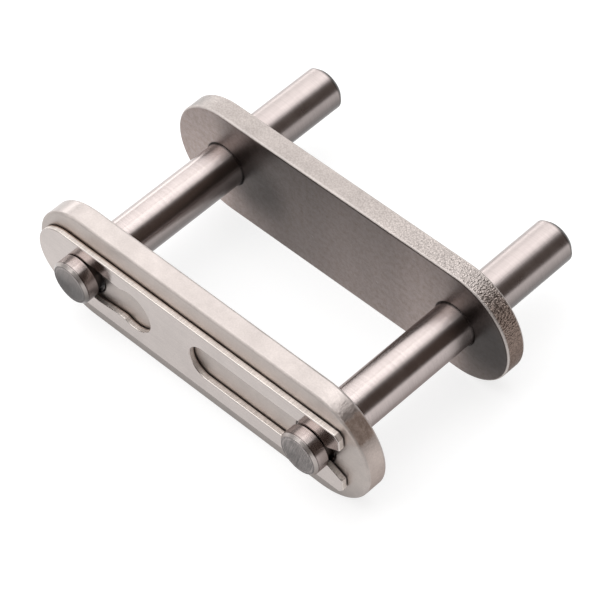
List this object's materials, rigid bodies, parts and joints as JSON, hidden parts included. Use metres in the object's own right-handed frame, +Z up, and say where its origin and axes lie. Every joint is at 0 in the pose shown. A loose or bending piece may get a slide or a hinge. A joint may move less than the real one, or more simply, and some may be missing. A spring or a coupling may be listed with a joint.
{
  "type": "roller chain connecting link",
  "caption": "Spring-clip connecting link for double-pitch conveyor chain, with straight-sided plates and pins that run on past the rear plate to carry an attachment.",
  "frame": {"origin": "on the surface that the link stands on, midway between the two pins and midway along their length", "axes": "+X along the chain from the clip's closed end to its legs, +Y along the pins from the clip to the extended ends, +Z up across the plates"},
  "size_m": [0.0546, 0.0436, 0.0166],
  "materials": {
    "plate_steel": "blanked stainless steel, tumbled to a soft satin with sheared edges",
    "pin_steel": "turned and ground stainless steel, semi-polished",
    "clip_steel": "stamped spring steel sheet, rolled satin"
  },
  "bodies": {
    "link": {"pin_link_plate": "plate_steel", "cover_plate": "plate_steel", "pin_left": "pin_steel", "pin_right": "pin_steel"},
    "clip": {"spring_clip": "clip_steel"}
  },
  "joints": [
    {"name": "clip_release", "type": "slide", "parent": "link", "child": "clip", "axis": [-1, 0, 0], "range_m": [0, 0.0086], "deforming": ["spring_clip"]}
  ]
}
